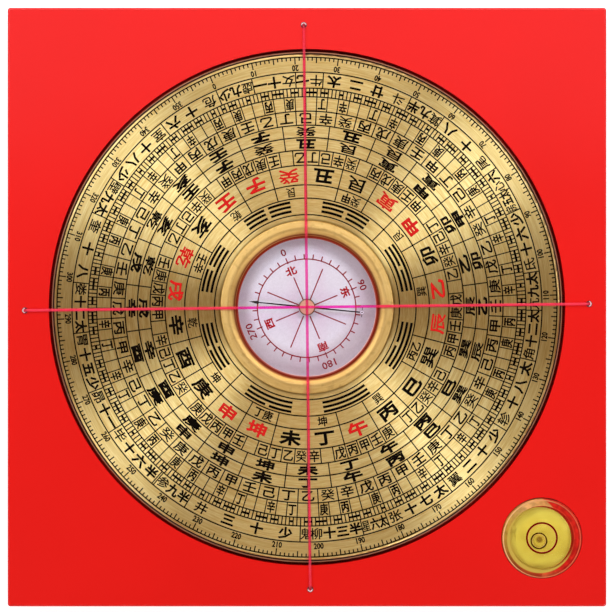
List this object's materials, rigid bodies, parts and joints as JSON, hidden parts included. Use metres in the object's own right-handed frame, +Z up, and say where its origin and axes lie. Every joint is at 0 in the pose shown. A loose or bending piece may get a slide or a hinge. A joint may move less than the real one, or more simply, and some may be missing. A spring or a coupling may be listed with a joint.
{
  "type": "chinese compass",
  "caption": "Square board with a turning round dial, a needle capsule in its middle, crossed sighting threads and a round bubble level in one corner.",
  "frame": {"origin": "middle of the board's underside", "axes": "+Z up, out of the dial's face; +Y towards the board's far edge; +X towards its right edge, with the level at +X, -Y"},
  "size_m": [0.15, 0.15, 0.0198],
  "materials": {
    "red_lacquer": "high gloss red lacquer",
    "bush_brass": "turned",
    "washer_plastic": "smooth, slippery",
    "eyelet_nylon": "moulded",
    "thread_nylon": "clear tinted monofilament",
    "vial_acrylic": "polished clear acrylic",
    "level_spirit": "clear liquid",
    "target_paint": "paint in a groove",
    "level_base": "moulded",
    "bubble_air": "clear",
    "dark_phenolic": "smooth",
    "face_brass": "circular brushed and printed in black and red",
    "rim_metal": "bright",
    "bezel_brass": "turned satin",
    "card_white": "printed in crimson",
    "needle_steel": "blued steel",
    "capsule_glass": "polished",
    "ring_red": "moulded",
    "plain_steel": "plain",
    "bright_steel": "bright",
    "cap_brass": "turned, reddish"
  },
  "bodies": {
    "board": {"base_board": "red_lacquer", "centre_bush": "bush_brass", "thrust_washer": "washer_plastic", "thread_eyelets": "eyelet_nylon", "thread_north_south": "thread_nylon", "thread_east_west": "thread_nylon", "level_vial": "vial_acrylic", "level_liquid": "level_spirit", "level_target_ring": "target_paint", "level_base_disc": "level_base"},
    "dial": {"dial_disc": "dark_phenolic", "dial_face_plate": "face_brass", "dial_rim": "rim_metal", "compass_housing": "bezel_brass", "compass_card": "card_white", "pivot_pin": "needle_steel", "compass_glass": "capsule_glass", "glass_ring": "ring_red", "stem_washer": "plain_steel", "lock_nut": "plain_steel"},
    "needle": {"needle": "needle_steel", "needle_tail_fork": "bright_steel", "needle_cap": "cap_brass"},
    "bubble": {"level_bubble": "bubble_air"}
  },
  "joints": [
    {"name": "dial_turn", "type": "hinge", "parent": "board", "child": "dial", "pos_m": [0, 0, 0.0115], "axis": [0, 0, 1], "continuous": true},
    {"name": "needle_swing", "type": "hinge", "parent": "dial", "child": "needle", "pos_m": [0, 0, 0.0152], "axis": [0, 0, 1], "continuous": true},
    {"name": "bubble_run", "type": "slide", "parent": "board", "child": "bubble", "axis": [0.5779, 0.8161, 0], "range_m": [-0.00485, 0.00695]}
  ]
}
